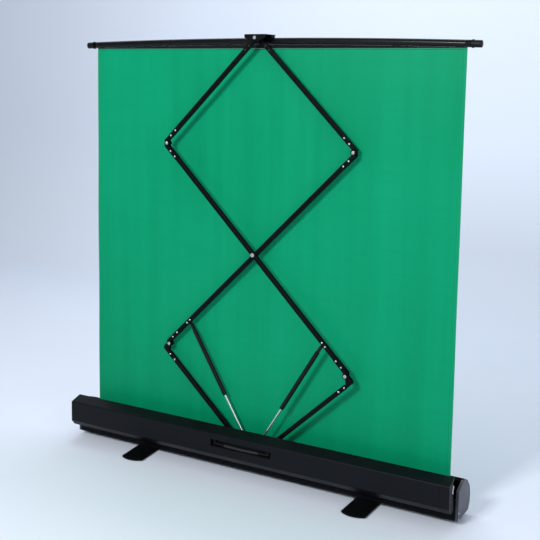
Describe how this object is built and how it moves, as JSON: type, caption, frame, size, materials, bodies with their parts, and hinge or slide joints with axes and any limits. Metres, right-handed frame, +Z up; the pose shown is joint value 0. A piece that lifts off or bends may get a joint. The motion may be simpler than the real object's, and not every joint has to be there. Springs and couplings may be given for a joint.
{
  "type": "collapsible backdrop panel",
  "caption": "Pull-up green backdrop: fabric screen drawn from a floor case by a scissor frame with gas struts, with a hinged lid, carry handle and swivel feet.",
  "frame": {"origin": "on the floor, midway between the two swivelling feet and under the frame's base pivot line", "axes": "+X along the case, to the right when the frame is seen from behind; +Y through the case towards the fabric's front; +Z up"},
  "size_m": [2.145, 0.482, 2.1529],
  "materials": {
    "housing": "charcoal powder coat, satin",
    "end_caps": "moulded, fine grain",
    "lid_moulding": "moulded, fine grain",
    "bright_steel": "zinc plated",
    "black_steel": "black powder coat",
    "arm_tube": "black anodised",
    "strut_black": "semi-gloss black",
    "strut_chrome": "polished",
    "bar_plastic": "moulded",
    "green_fabric": "matt chroma green weave",
    "hem_fabric": "woven webbing",
    "pad_rubber": "matt",
    "roller_aluminium": "mill"
  },
  "bodies": {
    "case": {"base_shell": "housing", "base_cap_left": "end_caps", "base_cap_right": "end_caps", "cap_screws": "bright_steel", "scissor_bracket": "black_steel", "base_pivot_pins": "bright_steel", "base_hinge_barrels": "lid_moulding", "hinge_rods": "bright_steel", "roller_mounts": "black_steel", "roller_axles": "bright_steel", "roller_spring": "bright_steel", "foot_pins": "bright_steel", "fabric_panel": "green_fabric"},
    "lower_left": {"lower_arm_left": "arm_tube", "lower_lugs_left": "black_steel", "lower_rivets_left": "bright_steel"},
    "long_rear": {"long_arm_rear": "arm_tube", "long_plates_rear": "black_steel", "long_pins_rear": "bright_steel"},
    "upper_right": {"upper_arm_right": "arm_tube", "upper_lugs_right": "black_steel", "upper_rivets_right": "bright_steel"},
    "top_bar": {"top_tube": "arm_tube", "hem_strip": "hem_fabric", "top_cap_left": "bar_plastic", "top_cap_right": "bar_plastic", "top_bracket": "black_steel", "top_pivot_pin": "bright_steel"},
    "lower_right": {"lower_arm_right": "arm_tube", "lower_lugs_right": "black_steel", "lower_rivets_right": "bright_steel"},
    "long_front": {"long_arm_front": "arm_tube", "long_plates_front": "black_steel", "long_pins_front": "bright_steel"},
    "upper_left": {"upper_arm_left": "arm_tube", "upper_lugs_left": "black_steel", "upper_rivets_left": "bright_steel"},
    "rod_left": {"strut_rod_left": "strut_chrome"},
    "cylinder_left": {"strut_cylinder_left": "strut_black"},
    "rod_right": {"strut_rod_right": "strut_chrome"},
    "cylinder_right": {"strut_cylinder_right": "strut_black"},
    "roller": {"fabric_roll": "green_fabric", "roller_tube": "roller_aluminium", "roller_plugs": "bar_plastic"},
    "lid": {"lid_panel": "housing", "lid_end_left": "lid_moulding", "lid_end_right": "lid_moulding", "lid_hinge_barrels": "lid_moulding", "handle_tray": "lid_moulding"},
    "handle": {"carry_handle": "lid_moulding"},
    "hook_left": {"latch_left": "bright_steel"},
    "hook_right": {"latch_right": "bright_steel"},
    "swivel_left": {"foot_left": "black_steel", "foot_pads_left": "pad_rubber"},
    "swivel_right": {"foot_right": "black_steel", "foot_pads_right": "pad_rubber"}
  },
  "joints": [
    {"name": "fold", "type": "hinge", "parent": "case", "child": "lower_left", "pos_m": [0, -0.031, 0.0665], "axis": [0, -1, 0], "range_deg": [0, 44], "deforming": ["fabric_panel"]},
    {"name": "lower_left_elbow", "type": "hinge", "parent": "lower_left", "child": "long_rear", "pos_m": [-0.50335, -0.031, 0.58411], "axis": [0, 1, 0], "range_deg": [0, 88]},
    {"name": "upper_right_elbow", "type": "hinge", "parent": "long_rear", "child": "upper_right", "pos_m": [0.50335, -0.031, 1.61933], "axis": [0, -1, 0], "range_deg": [0, 88]},
    {"name": "top_pivot", "type": "hinge", "parent": "upper_right", "child": "top_bar", "pos_m": [0, -0.031, 2.13694], "axis": [0, 1, 0], "range_deg": [0, 44]},
    {"name": "base_pivot_right", "type": "hinge", "parent": "case", "child": "lower_right", "pos_m": [0, -0.058, 0.0665], "axis": [0, 1, 0], "range_deg": [0, 44]},
    {"name": "lower_right_elbow", "type": "hinge", "parent": "lower_right", "child": "long_front", "pos_m": [0.50335, -0.058, 0.58411], "axis": [0, -1, 0], "range_deg": [0, 88]},
    {"name": "upper_left_elbow", "type": "hinge", "parent": "long_front", "child": "upper_left", "pos_m": [-0.50335, -0.058, 1.61933], "axis": [0, 1, 0], "range_deg": [0, 88]},
    {"name": "strut_left_swing", "type": "hinge", "parent": "case", "child": "rod_left", "pos_m": [0, -0.031, 0.0885], "axis": [0, -1, 0], "range_deg": [0, 60]},
    {"name": "strut_right_swing", "type": "hinge", "parent": "case", "child": "rod_right", "pos_m": [0, -0.058, 0.0885], "axis": [0, 1, 0], "range_deg": [0, 60]},
    {"name": "strut_left_stroke", "type": "slide", "parent": "rod_left", "child": "cylinder_left", "axis": [0.5189, 0, -0.8549], "range_m": [0, 0.1682]},
    {"name": "strut_right_stroke", "type": "slide", "parent": "rod_right", "child": "cylinder_right", "axis": [-0.5189, 0, -0.8549], "range_m": [0, 0.1682]},
    {"name": "roller_spin", "type": "hinge", "parent": "case", "child": "roller", "pos_m": [0, 0.0265, 0.072], "axis": [1, 0, 0], "continuous": true},
    {"name": "lid_hinge", "type": "hinge", "parent": "case", "child": "lid", "pos_m": [0, -0.09, 0.11], "axis": [-1, 0, 0], "range_deg": [0, 10]},
    {"name": "handle_swing", "type": "hinge", "parent": "lid", "child": "handle", "pos_m": [0, -0.151, 0.175], "axis": [-1, 0, 0], "range_deg": [0, 90]},
    {"name": "hook_left_swing", "type": "hinge", "parent": "lid", "child": "hook_left", "pos_m": [-1.0558, -0.124, 0.196], "axis": [-1, 0, 0], "range_deg": [-30, 60]},
    {"name": "hook_right_swing", "type": "hinge", "parent": "lid", "child": "hook_right", "pos_m": [1.0558, -0.124, 0.196], "axis": [-1, 0, 0], "range_deg": [-30, 60]},
    {"name": "foot_left_swivel", "type": "hinge", "parent": "case", "child": "swivel_left", "pos_m": [-0.63, 0, 0.008], "axis": [0, 0, 1], "range_deg": [-6, 84]},
    {"name": "foot_right_swivel", "type": "hinge", "parent": "case", "child": "swivel_right", "pos_m": [0.63, 0, 0.008], "axis": [0, 0, -1], "range_deg": [0, 90]}
  ],
  "couplings": [
    {"joint": "lower_left_elbow", "follows": "fold", "ratio": 2},
    {"joint": "upper_right_elbow", "follows": "fold", "ratio": 2},
    {"joint": "top_pivot", "follows": "fold", "ratio": 1},
    {"joint": "base_pivot_right", "follows": "fold", "ratio": 1},
    {"joint": "lower_right_elbow", "follows": "fold", "ratio": 2},
    {"joint": "upper_left_elbow", "follows": "fold", "ratio": 2},
    {"joint": "strut_left_swing", "follows": "fold", "ratio": 1.3559},
    {"joint": "strut_right_swing", "follows": "fold", "ratio": 1.3559},
    {"joint": "strut_left_stroke", "follows": "fold", "m_per_rad": 0.21881},
    {"joint": "strut_right_stroke", "follows": "fold", "m_per_rad": 0.21881}
  ]
}
